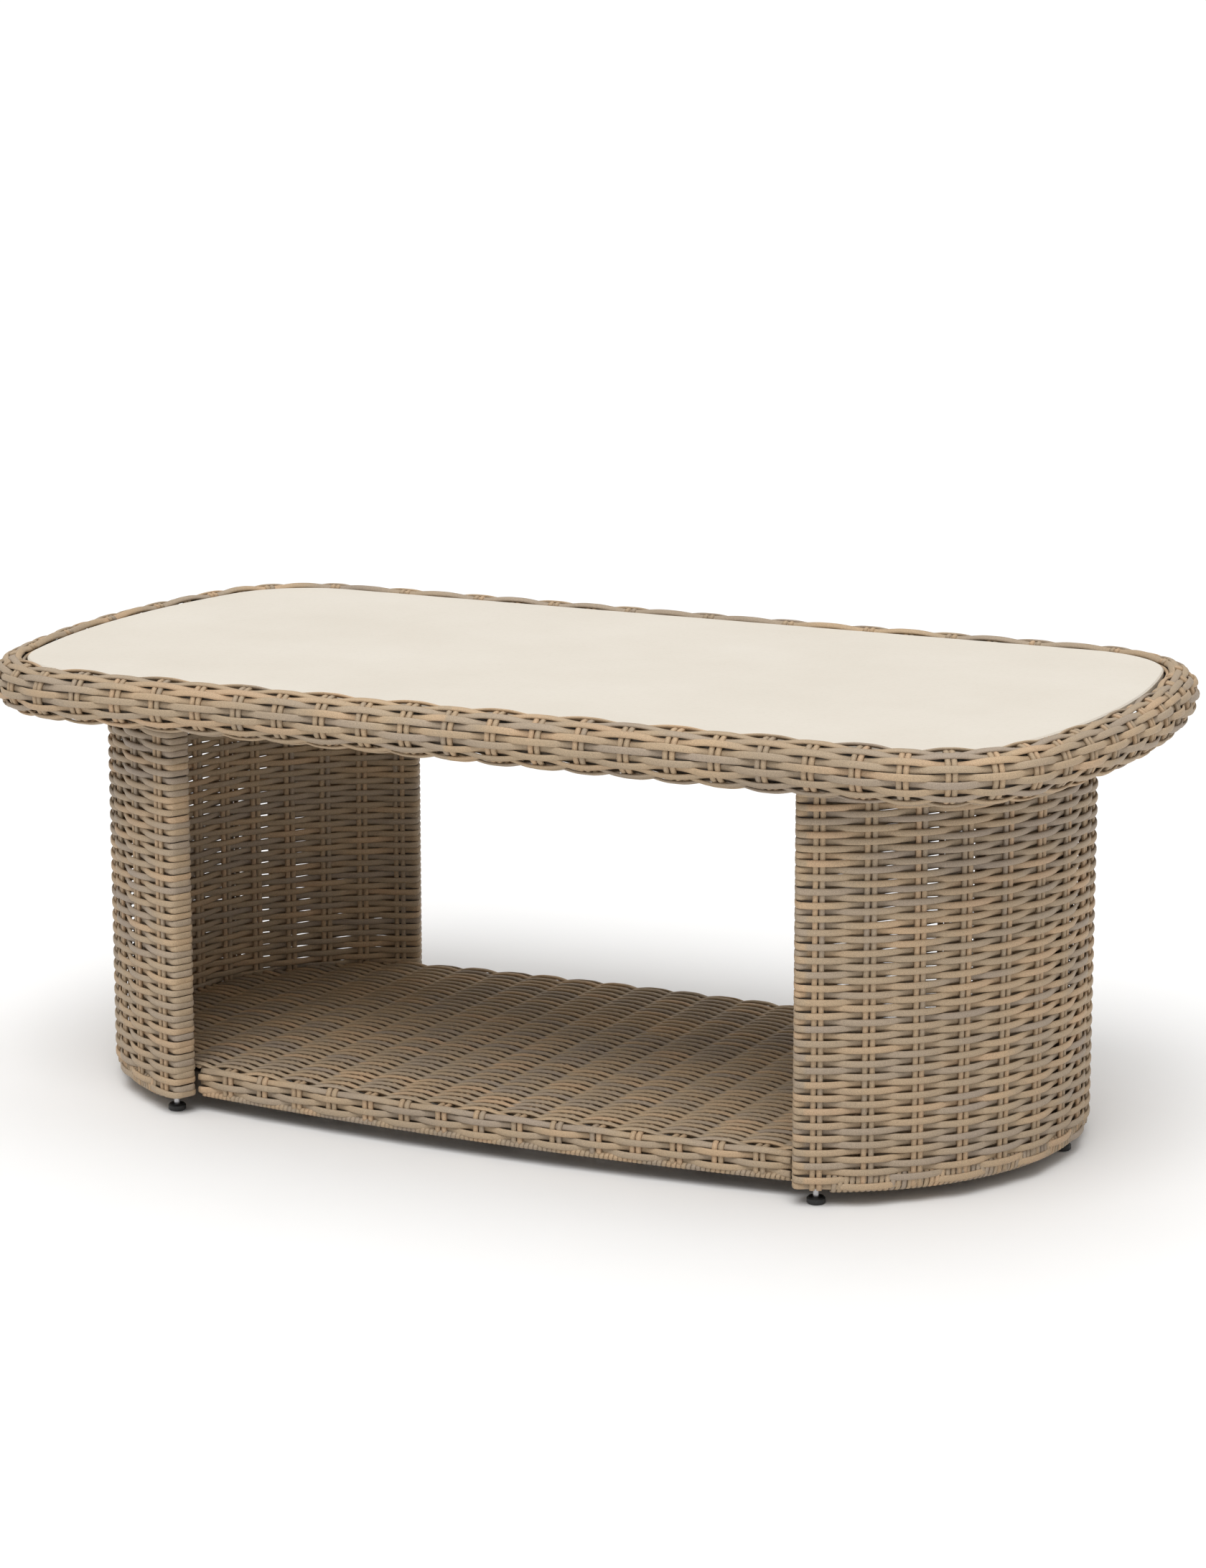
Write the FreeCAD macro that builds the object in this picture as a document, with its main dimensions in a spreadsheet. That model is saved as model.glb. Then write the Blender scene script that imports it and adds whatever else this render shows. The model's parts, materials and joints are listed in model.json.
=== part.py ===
"""Wicker coffee table: a drop-in ceramic top in a woven rim, two C-shaped woven legs,
a woven shelf between them, and six screw feet.

Frame: millimetres, +Z up, +X along the table's length, the origin on the floor under the middle.
Every size is a cell of the sheet "Dims". Each sub-part is one labelled object, and its label is
its file's name. The left leg's pieces are the right leg's, turned half round the table's middle.
"""
import FreeCAD, Part
import math
import os

import Sketcher
from FreeCAD import Placement, Rotation, Vector

DIMENSIONS = [
    # the top's outline, seen from above: straight long sides, bowed ends, round corners
    ("top_length", 1200),
    ("top_width", 630),
    ("top_height", 460),
    ("corner_radius", 143),
    ("end_radius", 869),
    # the woven rim's section
    ("rim_height", 56),
    ("rim_flat", 8),
    ("rim_underside", 24),
    ("strand", 3.5),
    ("rim_tube_radius", 16),
    ("rim_tube_inset", 22),
    ("tube_wall", 1.5),
    # the ceramic top and what carries it
    ("panel_inset", 37),
    ("panel_drop", 5),
    ("panel_thickness", 8),
    ("panel_edge", 1.5),
    ("bumper_radius", 6),
    ("bumper_height", 2),
    ("bumper_spacing", 316),
    ("ledge_radius", 7),
    ("ledge_inset", 58),
    ("ledge_straight", 436),
    ("bar_width", 25),
    ("bar_height", 12),
    # the legs: arcs of box tube and three posts, inside a hollow woven wall with two skins
    ("leg_centre", 245),
    ("post_circle", 264.5),
    ("leg_skin", 6),
    ("leg_angle", 67.5),
    ("box_tube", 20),
    ("arc_tube_height", 16),
    ("end_post_radius", 6.5),
    ("end_skin", 3),
    ("clearance", 0.3),
    ("overrun", 1),
    ("wicker_bottom", 15),
    ("leg_top", 404),
    ("frame_bottom", 18),
    # the shelf between the legs
    ("shelf_top", 50),
    ("shelf_half_depth", 254),
    ("shelf_bow_radius", 2943),
    ("shelf_half_length", 327),
    ("deck_thickness", 10.8),
    ("band_thickness", 8),
    ("shelf_tube_half_length", 396),
    ("shelf_tube_bottom", 19),
    ("shelf_bar_spacing", 220),
    # the screw feet
    ("foot_circle", 261),
    ("corner_foot_angle", 65.4),
    ("end_foot_angle", 6),
    ("pad_radius", 9),
    ("pad_height", 7),
    ("pad_rounding", 1.5),
    ("stud_radius", 3),
    ("stud_top", 27.5),
    ("thread_clearance", 0.05),
    ("insert_radius", 4.5),
    ("insert_flange_radius", 6),
    ("insert_flange", 1),
    ("insert_length", 13),
]

doc = FreeCAD.newDocument("wicker_coffee_table")
sheet = doc.addObject("Spreadsheet::Sheet", "Dims")
for row, (alias, value) in enumerate(DIMENSIONS, start=1):
    sheet.set(f"A{row}", alias)
    sheet.set(f"B{row}", str(value))
    sheet.setAlias(f"B{row}", alias)
doc.recompute()

HALF_TURN = Placement(Vector(0, 0, 0), Rotation(Vector(0, 0, 1), 180))
SIDES = {"right": Placement(), "left": HALF_TURN}
FACING = {"right": {"front": -1, "rear": 1}, "left": {"front": 1, "rear": -1}}
RIM_MIDDLE = "(Dims.top_height - Dims.rim_height / 2)"
PANEL_BOTTOM = "(Dims.top_height - Dims.panel_drop - Dims.panel_thickness)"
LEDGE_MIDDLE = f"({PANEL_BOTTOM} - Dims.bumper_height - Dims.ledge_radius)"
BAR_BOTTOM = f"({LEDGE_MIDDLE} - Dims.ledge_radius - Dims.bar_height)"
POST_X = "(Dims.leg_centre + Dims.post_circle * cos(Dims.leg_angle * 1deg))"
TOP_ARC_BOTTOM = f"({BAR_BOTTOM} - Dims.arc_tube_height)"
BOTTOM_ARC_TOP = "(Dims.frame_bottom + Dims.arc_tube_height)"
nodes = []


def dim(alias):
    """A driving dimension's value."""
    return float(sheet.get(alias))


def worked_out(expression):
    """The value of a formula written in cells of the sheet."""
    return float(sheet.evalExpression(expression))


def node(thing, label, placement=None):
    """Marks a finished sub-part: its label names its file."""
    thing.Label = label
    if placement is not None:
        thing.Placement = placement
    nodes.append(thing)
    return thing


# ---- shapes from primitives ------------------------------------------------------------------


def primitive(kind, name, at=("0", "0", "0"), rotation=None, **sizes):
    """A Part primitive whose sizes and place are formulas."""
    made = doc.addObject(f"Part::{kind}", name)
    if rotation is not None:
        made.Placement = Placement(Vector(0, 0, 0), rotation)
    for size, expression in sizes.items():
        made.setExpression(size, expression)
    for axis, expression in zip("xyz", at):
        made.setExpression(f"Placement.Base.{axis}", expression)
    return made


def cut(name, base, *tools):
    """base with the tools taken away, one after another."""
    for number, tool in enumerate(tools):
        made = doc.addObject("Part::Cut", f"{name}_cut{number}")
        made.Base, made.Tool = base, tool
        base = made
    return base


def fuse(name, *shapes):
    made = doc.addObject("Part::MultiFuse", name)
    made.Shapes = list(shapes)
    return made


def turned(name, shape, placement):
    """A copy of a shape, turned about the table's middle."""
    made = doc.addObject("Part::Compound", name)
    made.Links = [shape]
    made.Placement = placement
    return made


def sector(name, radius, half_angle, bottom, height):
    """A slice of a cylinder about the right leg's axis, open towards the table's middle."""
    made = primitive(
        "Cylinder", name, ("Dims.leg_centre", "0", bottom),
        Radius=radius, Height=height, Angle=f"2 * ({half_angle})",
    )
    made.setExpression("Placement.Rotation.Yaw", f"-({half_angle})")
    return made


def ring_sector(name, outer, inner, half_angle, bottom, height):
    """A curved wall about the right leg's axis."""
    return cut(
        name,
        sector(f"{name}_outer", outer, half_angle, bottom, height),
        sector(f"{name}_inner", inner, f"{half_angle} + Dims.overrun", bottom, height),
    )


def post_prism(name, angle_sign, side, bottom, height):
    """A square prism standing on the leg's arc, turned to face along it."""
    angle = f"({angle_sign} * Dims.leg_angle)"
    made = primitive("Box", name, Length=side, Width=side, Height=height)
    reach = f"(Dims.post_circle - {side} / 2)"
    across = f"({side} / 2)"
    x = f"Dims.leg_centre + {reach} * cos({angle} * 1deg) + {across} * sin({angle} * 1deg)"
    y = f"{reach} * sin({angle} * 1deg) - {across} * cos({angle} * 1deg)"
    made.setExpression("Placement.Base.x", x)
    made.setExpression("Placement.Base.y", y)
    made.setExpression("Placement.Base.z", bottom)
    made.setExpression("Placement.Rotation.Yaw", angle)
    return made


# ---- shapes from sketches --------------------------------------------------------------------


def new_body(name):
    return doc.addObject("PartDesign::Body", name)


def sketch_on(body, name, role, height=None):
    """A sketch on one of the body's own origin planes."""
    made = body.newObject("Sketcher::SketchObject", name)
    plane = [f for f in body.Origin.OriginFeatures if f.Role == role][0]
    made.AttachmentSupport = [(plane, "")]
    made.MapMode = "FlatFace"
    if height is not None:
        made.setExpression("AttachmentOffset.Base.z", height)
    return made


def bind(sketch, kind, *places, name, expression):
    """A dimension of a sketch, driven by a formula."""
    value = worked_out(expression)
    index = sketch.addConstraint(Sketcher.Constraint(kind, *places, value))
    sketch.renameConstraint(index, name)
    sketch.setExpression(f"Constraints.{name}", expression)


def arc(centre_x, centre_y, radius, start, end):
    circle = Part.Circle(Vector(centre_x, centre_y, 0), Vector(0, 0, 1), radius)
    return Part.ArcOfCircle(circle, start, end)


def line(x0, y0, x1, y1):
    return Part.LineSegment(Vector(x0, y0, 0), Vector(x1, y1, 0))


def top_outline(body, name, inset, height):
    """The top's outline, moved inwards by inset. It starts in the middle of the front side."""
    sketch = sketch_on(body, name, "XY_Plane", height)
    offset = worked_out(inset)
    a = dim("top_length") / 2 - offset
    b = dim("top_width") / 2 - offset
    corner = dim("corner_radius") - offset
    end = dim("end_radius") - offset
    corner_x = a - end + math.sqrt((end - corner) ** 2 - (b - corner) ** 2)
    turn = math.atan2(b - corner, corner_x - (a - end))
    quarter = math.pi / 2
    outline = [
        line(0, -b, corner_x, -b),
        arc(corner_x, corner - b, corner, -quarter, -turn),
        arc(a - end, 0, end, -turn, turn),
        arc(corner_x, b - corner, corner, turn, quarter),
        line(corner_x, b, -corner_x, b),
        arc(-corner_x, b - corner, corner, quarter, math.pi - turn),
        arc(end - a, 0, end, math.pi - turn, math.pi + turn),
        arc(-corner_x, corner - b, corner, math.pi + turn, 3 * quarter),
        line(-corner_x, -b, 0, -b),
    ]
    sketch.addGeometry(outline, False)
    start, finish, centre = 1, 2, 3
    x_axis, y_axis = -1, -2
    for index in range(len(outline) - 1):
        sketch.addConstraint(Sketcher.Constraint("Tangent", index, finish, index + 1, start))
    sketch.addConstraint(Sketcher.Constraint("Coincident", 8, finish, 0, start))
    sketch.addConstraint(Sketcher.Constraint("PointOnObject", 0, start, y_axis))
    for index in (0, 4, 8):
        sketch.addConstraint(Sketcher.Constraint("Horizontal", index))
    for index in (3, 5, 7):
        sketch.addConstraint(Sketcher.Constraint("Equal", 1, index))
    sketch.addConstraint(Sketcher.Constraint("Equal", 2, 6))
    sketch.addConstraint(Sketcher.Constraint("PointOnObject", 2, centre, x_axis))
    sketch.addConstraint(Sketcher.Constraint("Symmetric", 2, centre, 6, centre, x_axis, start))
    bind(sketch, "Radius", 1, name="corner", expression=f"Dims.corner_radius - {inset}")
    bind(sketch, "Radius", 2, name="end", expression=f"Dims.end_radius - {inset}")
    bind(sketch, "DistanceX", 2, centre, 6, centre, name="centre_gap",
         expression="2 * Dims.end_radius - Dims.top_length")
    half_width = f"Dims.top_width / 2 - {inset}"
    bind(sketch, "DistanceY", 0, start, x_axis, start, name="front", expression=half_width)
    bind(sketch, "DistanceY", x_axis, start, 4, start, name="rear", expression=half_width)
    return sketch


def ring_tube(name, inset, height, radius):
    """A hollow round tube bent to the top's outline."""
    body = new_body(name)
    path = top_outline(body, f"{name}_path", inset, height)
    centre = Vector(worked_out(inset) - dim("top_width") / 2, worked_out(height), 0)
    for feature, size in (
        ("AdditivePipe", radius),
        ("SubtractivePipe", f"({radius} - Dims.tube_wall)"),
    ):
        profile = sketch_on(body, f"{name}_{feature}_profile", "YZ_Plane")
        profile.addGeometry(Part.Circle(centre, Vector(0, 0, 1), worked_out(size)), False)
        bind(profile, "DistanceX", 0, 3, -1, 1, name="reach",
             expression=f"Dims.top_width / 2 - {inset}")
        bind(profile, "DistanceY", -1, 1, 0, 3, name="height", expression=height)
        bind(profile, "Radius", 0, name="radius", expression=size)
        pipe = body.newObject(f"PartDesign::{feature}", f"{name}_{feature}")
        pipe.Profile = profile
        pipe.Spine = (path, [])
        body.Tip = pipe
        doc.recompute()
    return body


def ledge_tubes():
    """The tube under the panel's edge: two straight rails and two bent end pieces."""
    ring = ring_tube("ledge_ring", "(Dims.ledge_inset)", LEDGE_MIDDLE, "Dims.ledge_radius")
    middle, beyond = "(2 * Dims.ledge_straight)", "(Dims.top_length / 2 - Dims.ledge_straight)"
    whole_width, half_width = "Dims.top_width", "(Dims.top_width / 2)"
    stretches = {
        "front": ("-Dims.ledge_straight", f"-{half_width}", middle, half_width),
        "rear": ("-Dims.ledge_straight", "0", middle, half_width),
        "right": ("Dims.ledge_straight", f"-{half_width}", beyond, whole_width),
        "left": ("-Dims.top_length / 2", f"-{half_width}", beyond, whole_width),
    }
    for place, (x, y, length, width) in stretches.items():
        block = primitive("Box", f"ledge_{place}_block", (x, y, BAR_BOTTOM),
                          Length=length, Width=width, Height="Dims.rim_height")
        stretch = doc.addObject("Part::Common", f"ledge_{place}_stretch")
        stretch.Base, stretch.Tool = ring, block
        node(stretch, f"ledge_{place}_tube")


def rim_weave():
    """The woven rim: a roll round the rim's tube, open towards the middle of the table."""
    label = "rim_weave"
    body = new_body(label)
    roll = "(Dims.rim_height / 2)"
    path = top_outline(body, f"{label}_path", roll, RIM_MIDDLE)
    profile = sketch_on(body, f"{label}_profile", "YZ_Plane")
    outer = worked_out(roll)
    inner = outer - dim("strand")
    x = outer - dim("top_width") / 2
    z = worked_out(RIM_MIDDLE)
    flat, under = dim("rim_flat"), dim("rim_underside")
    quarter = math.pi / 2
    section = [
        arc(x, z, outer, quarter, 3 * quarter),
        line(x, z - outer, x + under, z - outer),
        line(x + under, z - outer, x + under, z - inner),
        line(x + under, z - inner, x, z - inner),
        arc(x, z, inner, quarter, 3 * quarter),
        line(x, z + inner, x + flat, z + inner),
        line(x + flat, z + inner, x + flat, z + outer),
        line(x + flat, z + outer, x, z + outer),
    ]
    profile.addGeometry(section, False)
    for first, second in ((1, 2), (2, 3), (5, 6), (6, 7)):
        profile.addConstraint(Sketcher.Constraint("Coincident", first, 2, second, 1))
    for curve, end, straight, start in ((0, 2, 1, 1), (0, 1, 7, 2), (4, 2, 3, 2), (4, 1, 5, 1)):
        profile.addConstraint(Sketcher.Constraint("Tangent", curve, end, straight, start))
    profile.addConstraint(Sketcher.Constraint("Coincident", 0, 3, 4, 3))
    for index in (1, 5):
        profile.addConstraint(Sketcher.Constraint("Horizontal", index))
    for index in (2, 6):
        profile.addConstraint(Sketcher.Constraint("Vertical", index))
    for index in (3, 7):
        profile.addConstraint(Sketcher.Constraint("Horizontal", index))
    bind(profile, "DistanceX", 0, 3, -1, 1, name="reach",
         expression=f"Dims.top_width / 2 - {roll}")
    bind(profile, "DistanceY", -1, 1, 0, 3, name="height", expression=RIM_MIDDLE)
    bind(profile, "Radius", 0, name="outer", expression=roll)
    bind(profile, "Radius", 4, name="inner", expression=f"{roll} - Dims.strand")
    bind(profile, "DistanceX", 1, 1, 1, 2, name="underside", expression="Dims.rim_underside")
    bind(profile, "DistanceX", 5, 1, 5, 2, name="flat", expression="Dims.rim_flat")
    pipe = body.newObject("PartDesign::AdditivePipe", f"{label}_pipe")
    pipe.Profile = profile
    pipe.Spine = (path, [])
    body.Tip = pipe
    return node(body, label)


def turned_piece(name, points):
    """A body turned about Z. points are (radius, height) pairs of formulas, joined in a ring."""
    body = new_body(name)
    profile = sketch_on(body, f"{name}_profile", "XZ_Plane")
    values = [(worked_out(r), worked_out(z)) for r, z in points]
    for index, (here, there) in enumerate(zip(values, values[1:] + values[:1])):
        profile.addGeometry(line(*here, *there), False)
    for index in range(len(points)):
        following = (index + 1) % len(points)
        profile.addConstraint(Sketcher.Constraint("Coincident", index, 2, following, 1))
    for index, (radius, height) in enumerate(points):
        if radius == "0":
            profile.addConstraint(Sketcher.Constraint("PointOnObject", index, 1, -2))
        else:
            bind(profile, "DistanceX", -1, 1, index, 1, name=f"radius{index}", expression=radius)
        bind(profile, "DistanceY", -1, 1, index, 1, name=f"height{index}", expression=height)
    turn = body.newObject("PartDesign::Revolution", f"{name}_turn")
    turn.Profile = profile
    turn.ReferenceAxis = (profile, ["V_Axis"])
    turn.Angle = 360
    body.Tip = turn
    return body


# ---- the top ---------------------------------------------------------------------------------


def top_panel():
    body = new_body("top_panel")
    outline = top_outline(body, "top_panel_outline", "Dims.panel_inset", PANEL_BOTTOM)
    pad = body.newObject("PartDesign::Pad", "top_panel_slab")
    pad.Profile = outline
    pad.setExpression("Length", "Dims.panel_thickness")
    doc.recompute()
    rims = [
        f"Edge{number}" for number, edge in enumerate(pad.Shape.Edges, start=1)
        if edge.BoundBox.ZLength < dim("clearance")
    ]
    rounded = body.newObject("PartDesign::Chamfer", "top_panel_edges")
    rounded.Base = (pad, rims)
    rounded.setExpression("Size", "Dims.panel_edge")
    body.Tip = rounded
    return node(body, "top_panel")


def panel_bumpers():
    """Rubber discs on the ledge tube, which the panel lies on."""
    reach_x = "(Dims.top_length / 2 - Dims.ledge_inset)"
    reach_y = "(Dims.top_width / 2 - Dims.ledge_inset)"
    places = [(reach_x, "0"), (f"-{reach_x}", "0")]
    for x in ("-Dims.bumper_spacing", "0", "Dims.bumper_spacing"):
        places += [(x, reach_y), (x, f"-{reach_y}")]
    bottom = f"{PANEL_BOTTOM} - Dims.bumper_height"
    discs = [
        primitive("Cylinder", f"bumper_{number}", (x, y, bottom),
                  Radius="Dims.bumper_radius", Height="Dims.bumper_height")
        for number, (x, y) in enumerate(places, start=1)
    ]
    group = doc.addObject("Part::Compound", "panel_bumpers")
    group.Links = discs
    return node(group, "panel_bumpers")


def box_bar(name, at, length, width, height, along):
    """A straight box tube, open at both ends. along is the axis that it runs on."""
    wall = "Dims.tube_wall"
    sizes = {"Length": length, "Width": width, "Height": height}
    open_size = {"x": "Length", "y": "Width"}[along]
    inner_sizes = {
        key: value if key == open_size else f"{value} - 2 * {wall}" for key, value in sizes.items()
    }
    inner_at = [
        value if axis == along else f"{value} + {wall}" for axis, value in zip("xyz", at)
    ]
    outer = primitive("Box", f"{name}_outer", at, **sizes)
    inner = primitive("Box", f"{name}_inner", inner_at, **inner_sizes)
    return cut(name, outer, inner)


def cross_bar(label, x):
    """A bar across the top's frame, its ends shaped to the rim's tube."""
    reach = "(Dims.top_width / 2 - Dims.rim_tube_inset)"
    bar = box_bar(
        label, (f"({x}) - Dims.bar_width / 2", f"-{reach}", BAR_BOTTOM),
        "Dims.bar_width", f"2 * {reach}", "Dims.bar_height", "y",
    )
    ends = [
        primitive(
            "Cylinder", f"{label}_end_{name}",
            (f"({x}) - Dims.bar_width", f"{sign} * {reach}", RIM_MIDDLE),
            rotation=Rotation(Vector(0, 1, 0), 90),
            Radius="Dims.rim_tube_radius + Dims.thread_clearance", Height="2 * Dims.bar_width",
        )
        for name, sign in (("rear", 1), ("front", -1))
    ]
    return node(cut(f"{label}_shaped", bar, *ends), label)


def end_bar(side):
    """A bar from an outer cross bar to the ledge at the table's end, over the leg's end post."""
    start = f"({POST_X} + Dims.bar_width / 2)"
    finish = "(Dims.top_length / 2 - Dims.ledge_inset + Dims.ledge_radius)"
    bar = box_bar(
        f"{side}_end_bar", (start, "-Dims.bar_width / 2", BAR_BOTTOM),
        f"{finish} - {start}", "Dims.bar_width", "Dims.bar_height", "x",
    )
    return node(bar, f"{side}_end_bar", SIDES[side])


# ---- the legs --------------------------------------------------------------------------------

ARC_OUTER = "(Dims.post_circle + Dims.box_tube / 2)"
ARC_INNER = "(Dims.post_circle - Dims.box_tube / 2)"
ARC_HALF_ANGLE = "(Dims.leg_angle + Dims.box_tube / 2 / Dims.post_circle * 180 / pi)"
LEG_OUTER = f"({ARC_OUTER} + Dims.clearance + Dims.leg_skin)"
LEG_INNER = f"({ARC_INNER} - Dims.clearance - Dims.leg_skin)"


def arc_box_tube(name, bottom):
    """A box tube bent to the leg's arc."""
    wall = "Dims.tube_wall"
    solid = ring_sector(name, ARC_OUTER, ARC_INNER, ARC_HALF_ANGLE, bottom,
                        "Dims.arc_tube_height")
    hollow = ring_sector(f"{name}_hollow", f"{ARC_OUTER} - {wall}", f"{ARC_INNER} + {wall}",
                         f"{ARC_HALF_ANGLE} + Dims.overrun", f"{bottom} + {wall}",
                         f"Dims.arc_tube_height - 2 * {wall}")
    return cut(f"{name}_tube", solid, hollow)


def foot_angles(side):
    """Where a leg's three feet stand on its arc, before the left leg is turned round."""
    angles = {place: f"({sign} * Dims.corner_foot_angle)" for place, sign in FACING[side].items()}
    angles["end"] = "(Dims.end_foot_angle)"
    return angles


def foot_place(angle):
    """A foot's axis under the right leg, as formulas for x and y."""
    x = f"Dims.leg_centre + Dims.foot_circle * cos({angle} * 1deg)"
    y = f"Dims.foot_circle * sin({angle} * 1deg)"
    return x, y


def bottom_arc(side):
    """The leg's bottom tube, with a hole in its underside for each foot's insert."""
    name = f"{side}_bottom_arc"
    holes = [
        primitive(
            "Cylinder", f"{name}_hole_{place}",
            (*foot_place(angle), "Dims.frame_bottom - Dims.insert_flange"),
            Radius="Dims.insert_radius + Dims.thread_clearance",
            Height="Dims.insert_flange + 2 * Dims.tube_wall",
        )
        for place, angle in foot_angles(side).items()
    ]
    return node(cut(f"{name}_drilled", arc_box_tube(name, "Dims.frame_bottom"), *holes),
                name, SIDES[side])


def top_arc(side):
    name = f"{side}_top_arc"
    return node(arc_box_tube(name, TOP_ARC_BOTTOM), name, SIDES[side])


def corner_post(side, place, sign):
    """A square tube between the leg's bottom and top arcs."""
    name = f"{side}_{place}_post"
    height = f"{TOP_ARC_BOTTOM} - {BOTTOM_ARC_TOP}"
    outer = post_prism(f"{name}_outer", sign, "Dims.box_tube", BOTTOM_ARC_TOP, height)
    inner = post_prism(f"{name}_inner", sign, "(Dims.box_tube - 2 * Dims.tube_wall)",
                       BOTTOM_ARC_TOP, height)
    return node(cut(name, outer, inner), name, SIDES[side])


def end_post(side):
    name = f"{side}_end_post"
    at = ("Dims.leg_centre + Dims.post_circle", "0", BOTTOM_ARC_TOP)
    height = f"{TOP_ARC_BOTTOM} - {BOTTOM_ARC_TOP}"
    outer = primitive("Cylinder", f"{name}_outer", at,
                      Radius="Dims.end_post_radius", Height=height)
    inner = primitive("Cylinder", f"{name}_inner", at,
                      Radius="Dims.end_post_radius - Dims.tube_wall", Height=height)
    return node(cut(name, outer, inner), name, SIDES[side])


def leg_weave(side):
    """The leg's woven wall: an outer and an inner skin, joined round the corner posts."""
    name = f"{side}_leg_weave"
    bottom, gap = "Dims.wicker_bottom", "Dims.clearance"
    height = "Dims.leg_top - Dims.wicker_bottom"
    room_angle = f"({ARC_HALF_ANGLE} + {gap} / Dims.post_circle * 180 / pi)"
    whole = ring_sector(f"{name}_whole", LEG_OUTER, LEG_INNER,
                        f"({room_angle} + Dims.end_skin / Dims.post_circle * 180 / pi)",
                        bottom, height)
    room = ring_sector(f"{name}_room", f"{ARC_OUTER} + {gap}", f"{ARC_INNER} - {gap}",
                       room_angle, bottom, height)
    post_rooms = [
        post_prism(f"{name}_room_{place}", sign, f"(Dims.box_tube + {gap})", bottom, height)
        for place, sign in (("front", -1), ("rear", 1))
    ]
    shelf_rooms = [
        bowed_strip(f"{name}_{edge}_room", f"(Dims.band_thickness - {gap})",
                    f"(Dims.box_tube + 2 * {gap})", "Dims.shelf_tube_half_length",
                    f"Dims.shelf_tube_bottom - {gap}", f"Dims.box_tube + 2 * {gap}", edge)
        for edge in ("front", "rear")
    ]
    return node(cut(f"{name}_clear", whole, room, *post_rooms, *shelf_rooms), name, SIDES[side])


# ---- the shelf -------------------------------------------------------------------------------


def bowed_slab(name, outset, half_length, bottom, height):
    """A slab whose long edges are bowed like the shelf's, moved inwards by outset."""
    radius = f"(Dims.shelf_bow_radius - {outset})"
    centre_y = "(Dims.shelf_bow_radius - Dims.shelf_half_depth)"
    front = primitive("Cylinder", f"{name}_front", ("0", centre_y, bottom),
                      Radius=radius, Height=height)
    rear = primitive("Cylinder", f"{name}_rear", ("0", f"-{centre_y}", bottom),
                     Radius=radius, Height=height)
    limits = primitive("Box", f"{name}_limits",
                       (f"-({half_length})", "-Dims.top_width / 2", bottom),
                       Length=f"2 * ({half_length})", Width="Dims.top_width", Height=height)
    made = doc.addObject("Part::MultiCommon", name)
    made.Shapes = [front, rear, limits]
    return made


def bowed_strip(name, outset, thickness, half_length, bottom, height, side):
    """One long edge of a bowed slab."""
    whole = bowed_slab(f"{name}_whole", outset, half_length, bottom, height)
    core = bowed_slab(f"{name}_core", f"({outset} + {thickness})",
                      f"{half_length} + Dims.overrun", bottom, height)
    sign = {"front": "0", "rear": "-Dims.top_width"}[side]
    other = primitive("Box", f"{name}_other", ("-Dims.top_length / 2", sign, bottom),
                      Length="Dims.top_length", Width="Dims.top_width", Height=height)
    return cut(name, whole, core, other)


def shelf_tube(side):
    """A bowed box tube along the shelf's edge, its ends shaped to the legs' bottom arcs."""
    name = f"shelf_{side}_tube"
    inset, wall = "(Dims.band_thickness)", "Dims.tube_wall"
    solid = bowed_strip(name, inset, "Dims.box_tube", "Dims.shelf_tube_half_length",
                        "Dims.shelf_tube_bottom", "Dims.box_tube", side)
    hollow = bowed_strip(f"{name}_hollow", f"({inset} + {wall})",
                         f"(Dims.box_tube - 2 * {wall})", "Dims.shelf_tube_half_length + Dims.overrun",
                         f"Dims.shelf_tube_bottom + {wall}", f"Dims.box_tube - 2 * {wall}", side)
    beyond = ring_sector(f"{name}_beyond", "2 * Dims.post_circle",
                         f"{ARC_INNER} - Dims.clearance", "90",
                         "Dims.wicker_bottom", "2 * Dims.box_tube")
    beyond_left = turned(f"{name}_beyond_left", beyond, HALF_TURN)
    return node(cut(f"{name}_shaped", solid, hollow, beyond, beyond_left), name)


def shelf_bar(place, number):
    """A box tube across the shelf, between its front and rear tubes."""
    name = f"shelf_{place}_bar"
    x = f"({number} * Dims.shelf_bar_spacing)"
    outer_x = f"(abs{x} + Dims.box_tube / 2)"
    bow = f"({outer_x} ^ 2 / (2 * Dims.shelf_bow_radius))"
    reach = (
        f"(Dims.shelf_half_depth - Dims.band_thickness - Dims.box_tube - {bow}"
        " - Dims.clearance)"
    )
    bar = box_bar(name, (f"{x} - Dims.box_tube / 2", f"-{reach}", "Dims.shelf_tube_bottom"),
                  "Dims.box_tube", f"2 * {reach}", "Dims.box_tube", "y")
    return node(bar, name)


def shelf_band(side):
    """The woven edge of the shelf."""
    name = f"shelf_{side}_band"
    band = bowed_strip(name, "0", "(Dims.band_thickness - Dims.clearance)",
                       "Dims.shelf_half_length", "Dims.wicker_bottom",
                       "Dims.shelf_top - Dims.wicker_bottom", side)
    return node(band, name)


def shelf_deck():
    """The woven deck, which runs on inside both legs to their walls."""
    name = "shelf_deck"
    bottom = "Dims.shelf_top - Dims.deck_thickness"
    height = "Dims.deck_thickness"
    middle = bowed_slab(f"{name}_middle", "(Dims.band_thickness + Dims.clearance)",
                        POST_X, bottom, height)
    end = sector(f"{name}_end", f"{LEG_INNER} - Dims.clearance", "90", bottom, height)
    beside = primitive("Box", f"{name}_beside",
                       ("0", "-Dims.top_width / 2", bottom),
                       Length=POST_X, Width="Dims.top_width", Height=height)
    ends = cut(f"{name}_right_end", end, beside)
    left_end = turned(f"{name}_left_end", ends, HALF_TURN)
    return node(fuse(f"{name}_whole", middle, ends, left_end), name)


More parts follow.
